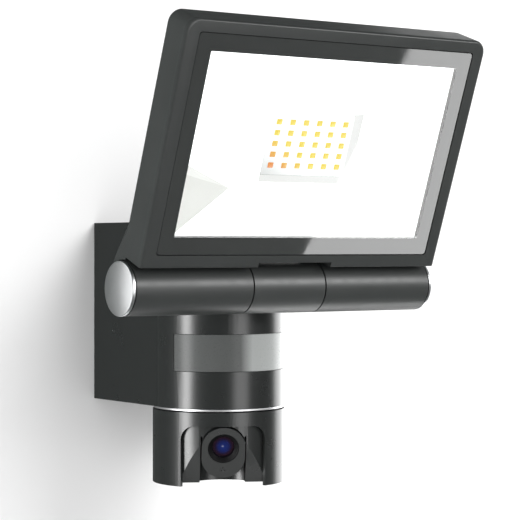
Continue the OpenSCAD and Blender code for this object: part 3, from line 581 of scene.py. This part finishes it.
def led_chips():
    """The LED packages: a white frame round a softly crowned square of phosphor."""
    frames, domes = bmesh.new(), bmesh.new()
    middle = (BOARD_V[0] + BOARD_V[1]) / 2 + LED_RAISE
    for col in range(LED_GRID[0]):
        for row in range(LED_GRID[1]):
            x = (col - (LED_GRID[0] - 1) / 2) * LED_PITCH[0]
            v = middle + (row - (LED_GRID[1] - 1) / 2) * LED_PITCH[1]
            led_layers(frames, x, v, [(2.2, 1.9, 0, 0.2), (2.2, 1.9, -0.6, 0.2), (2.0, 1.7, -0.6, 0.5)])
            top = led_layers(domes, x, v, [(2.02, 1.72, -0.5, 0.5), (1.85, 1.55, -0.7, 0.5),
                                           (1.1, 0.9, -0.8, 0.5)])
            domes.faces.new(top)
    for bm in (frames, domes):
        bmesh.ops.recalc_face_normals(bm, faces=bm.faces)
    # The frames carry the board's painted light and shade, the crowns the LEDs' painted light, oranger in shade
    shells = finish_mesh("led_frames", frames, "led_board_white", "head")
    crowns = finish_mesh("led_crowns", domes, "led_phosphor", "head", 60)
    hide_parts("led_chips")
    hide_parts("led_chips")


reflector()
led_chips()


# ---------- camera eye ----------

# The lens's space, its +Z axis pointing out of the eye
EYE_FRONT = EYE_SPACE @ Matrix.Rotation(math.radians(90), 4, "X")
# A funnel in fine steps round the lens: (radius, distance from the tilt axis)
hood = lathe("fine_lens_hood", EYE_FRONT,
             [(9.65, 5.0), (9.65, 9.75), (9.4, 9.85), (9.1, 9.7), (8.6, 9.3), (8.45, 9.3), (8.2, 8.9),
              (7.9, 8.6), (7.75, 8.6), (7.4, 8.1), (7.1, 7.9), (7.1, 5.0), (9.65, 5.0)],
             96, "black_plastic", "eye", 35)
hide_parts("lens_hood")
# How far the lens's middle stands out from the tilt axis, and the radius of its curve, in millimetres
LENS_FRONT = 9.05
LENS_CURVE = 15
dome = [(radius, LENS_FRONT - LENS_CURVE + math.sqrt(LENS_CURVE ** 2 - radius ** 2))
        for radius in (7, 6.2, 5.2, 4.2, 3.2, 2.2, 1.2, 0)]
lens = lathe("fine_lens_glass", EYE_FRONT, [(0, 5.0), (7, 5.0)] + dome, 96, "lens_coating", "eye", 40)
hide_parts("lens_glass")


# ---------- stage ----------

def plane(name, corners, material):
    """A flat backdrop that no glossy surface mirrors."""
    mesh = bpy.data.meshes.new(name)
    mesh.from_pydata(corners, [], [tuple(range(len(corners)))])
    piece = bpy.data.objects.new(name, mesh)
    bpy.context.scene.collection.objects.link(piece)
    mesh.materials.append(material)
    piece.visible_glossy = False
    return piece


def stage_paint(name, grey):
    """Matt pale paint that can't be seen from behind."""
    material, tree, shader = blank_material(name)
    shader.inputs["Base Color"].default_value = (grey, grey, grey, 1)
    shader.inputs["Roughness"].default_value = 0.9
    clear = tree.nodes.new("ShaderNodeBsdfTransparent")
    mix = tree.nodes.new("ShaderNodeMixShader")
    geometry = tree.nodes.new("ShaderNodeNewGeometry")
    tree.links.new(geometry.outputs["Backfacing"], mix.inputs[0])
    tree.links.new(shader.outputs[0], mix.inputs[1])
    tree.links.new(clear.outputs[0], mix.inputs[2])
    tree.links.new(mix.outputs[0], tree.nodes["Material Output"].inputs["Surface"])
    return material


# The stage's sizes in metres, and how bright the sky lights and how bright it mirrors
FLOOR_Z = -0.45
ROOM = 4.0
WALL_GAP = 0.0005
OPEN_SKY = 0.75
GLOSSY_SKY = 0.12
plane("floor",
      [(-ROOM, -ROOM, FLOOR_Z), (ROOM, -ROOM, FLOOR_Z), (ROOM, ROOM, FLOOR_Z), (-ROOM, ROOM, FLOOR_Z)],
      stage_paint("floor_paint", 0.86))
plane("wall",
      [(-ROOM, WALL_GAP, FLOOR_Z), (ROOM, WALL_GAP, FLOOR_Z), (ROOM, WALL_GAP, ROOM),
       (-ROOM, WALL_GAP, ROOM)],
      stage_paint("wall_paint", 0.9))

# A white sky that glossy surfaces mirror only dimly, so that they stay dark between the lamps
world = bpy.data.worlds.new("studio")
bpy.context.scene.world = world
world.use_nodes = True
sky = world.node_tree
path = sky.nodes.new("ShaderNodeLightPath")
dim = sky.nodes.new("ShaderNodeBackground")
dim.inputs["Color"].default_value = (0.93, 1.0, 0.98, 1)
dim.inputs["Strength"].default_value = GLOSSY_SKY
either = sky.nodes.new("ShaderNodeMixShader")
sky.nodes["Background"].inputs["Color"].default_value = (1, 1, 1, 1)
sky.nodes["Background"].inputs["Strength"].default_value = OPEN_SKY
sky.links.new(path.outputs["Is Glossy Ray"], either.inputs[0])
sky.links.new(sky.nodes["Background"].outputs[0], either.inputs[1])
sky.links.new(dim.outputs[0], either.inputs[2])
sky.links.new(either.outputs[0], sky.nodes["World Output"].inputs["Surface"])


def group(name, members):
    """A collection of members that a lamp can be linked to."""
    collection = bpy.data.collections.new(name)
    for member in members:
        collection.objects.link(member)
    return collection


stage_pieces = [bpy.data.objects[name] for name in ("floor", "wall")]
product = [o for o in bpy.data.objects if o.type == "MESH" and o not in stage_pieces]
glass_only = group("lit_glass", [border, pane])
product_only = group("lit_product", [o for o in product if o not in (border, pane, lens)])
bare_name = {o: o.name.removeprefix("fine_") for o in product}
head_pieces = [o for o in product if body_of_node.get(bare_name[o]) == "head" and o not in (border, pane)]
head_only = group("lit_head", head_pieces)
caps_only = group("lit_caps", [o for o in head_pieces if o.name.endswith("_end_cap")])
tower_only = group("lit_tower", [o for o in product if o not in (border, pane, lens, *head_pieces)])
lens_only = group("lit_lens", [lens])
stage_only = group("lit_stage", stage_pieces)
casters = group("shadow_product", product)


def softbox(name, at, aim, width, height, radiance, lit, shadowed_by=casters):
    """A rectangular lamp of a given radiance, turned towards aim, that lights only the group lit."""
    data = bpy.data.lights.new(name, "AREA")
    data.shape = "RECTANGLE"
    data.size = width
    data.size_y = height
    data.energy = radiance * math.pi * width * height
    lamp = bpy.data.objects.new(name, data)
    bpy.context.scene.collection.objects.link(lamp)
    lamp.location = at
    lamp.rotation_euler = (Vector(aim) - Vector(at)).to_track_quat("-Z", "Y").to_euler()
    lamp.visible_camera = False
    lamp.light_linking.receiver_collection = lit
    lamp.light_linking.blocker_collection = shadowed_by
    return lamp


def toward(origin, turn, rise, distance):
    """A place seen from origin at turn degrees from -Y towards +X and rise degrees up."""
    a, e = math.radians(turn), math.radians(rise)
    way = Vector((math.sin(a) * math.cos(e), -math.cos(a) * math.cos(e), math.sin(e)))
    return Vector(origin) + distance * way


# Each lamp: name, place, aim, width, height, radiance, what it lights, what shades it
TOWER = Vector((0, PAN.y, 0))
softbox("wall_key", (0.9, -1.3, 1.3), (0, 0, 0), 1.5, 1.2, 7.0, stage_only, tower_only)
softbox("barrel_key", toward(HINGE, 37, 17, 1.35), HINGE, 0.5, 0.34, 16.0, product_only)
softbox("left_strip", toward(TOWER, -92, 0, 1.0), TOWER, 0.30, 1.3, 17.0, tower_only)
left_panel = softbox("left_panel", toward(TOWER, -96, 0, 1.0), TOWER, 0.48, 1.3, 9.0, head_only)
left_panel.visible_glossy = False
softbox("front_strip", toward(TOWER, 6, 0, 1.5), TOWER, 0.7, 0.9, 4.2, product_only)
softbox("low_fill", toward(TOWER, -23, -37, 1.2), TOWER, 0.9, 0.6, 1.1, tower_only)
softbox("right_panel", toward(TOWER, 108, 0, 1.0), TOWER, 0.95, 1.4, 4.2, tower_only)
softbox("right_fill", toward(TOWER, 106, 0, 1.0), TOWER, 0.95, 1.4, 1.8, head_only)
softbox("under_strip", (0.22, 0.11, -0.43), HINGE, 0.8, 0.14, 4.4, product_only)
softbox("cap_card", toward(HINGE, -120, 0, 1.0), HINGE, 0.5, 1.0, 1.7, caps_only)
softbox("lens_glint", toward(EYE, -27, -33, 0.6), EYE, 0.07, 0.05, 8.0, lens_only)

# The card that the glass mirrors: it lies on the floor, in front and to the right, facing up
CARD_WIDTH = 1.0
CARD_LENGTH = 1.4
card_near, card_far = Vector((0.554, -0.733, FLOOR_Z)), Vector((0.97, -1.157, FLOOR_Z))
edge = (card_far - card_near).normalized()
side = Vector((-edge.y, edge.x, 0))
card_at = (card_near + card_far) / 2 + side * CARD_WIDTH / 2
card = softbox("glass_card", card_at, card_at + Vector((0, 0, 1)), CARD_WIDTH, CARD_LENGTH, 7.5,
               glass_only)
card.rotation_euler = Matrix((side, edge, side.cross(edge))).transposed().to_euler()

bpy.context.scene.view_settings.view_transform = "Standard"


# ---------- camera ----------

# The photograph's viewpoint: level, a little above the hinge, and well round towards -X
CAMERA_AT = (-0.6655, -1.0787, 0.0416)
CAMERA_TURN = -35.16
camera_data = bpy.data.cameras.new("camera")
camera_data.sensor_width = 36
camera_data.lens = 129.8
camera_data.shift_y = -0.0235
camera = bpy.data.objects.new("camera", camera_data)
bpy.context.scene.collection.objects.link(camera)
camera.location = CAMERA_AT
camera.rotation_euler = (math.radians(90), 0, math.radians(CAMERA_TURN))
bpy.context.scene.camera = camera
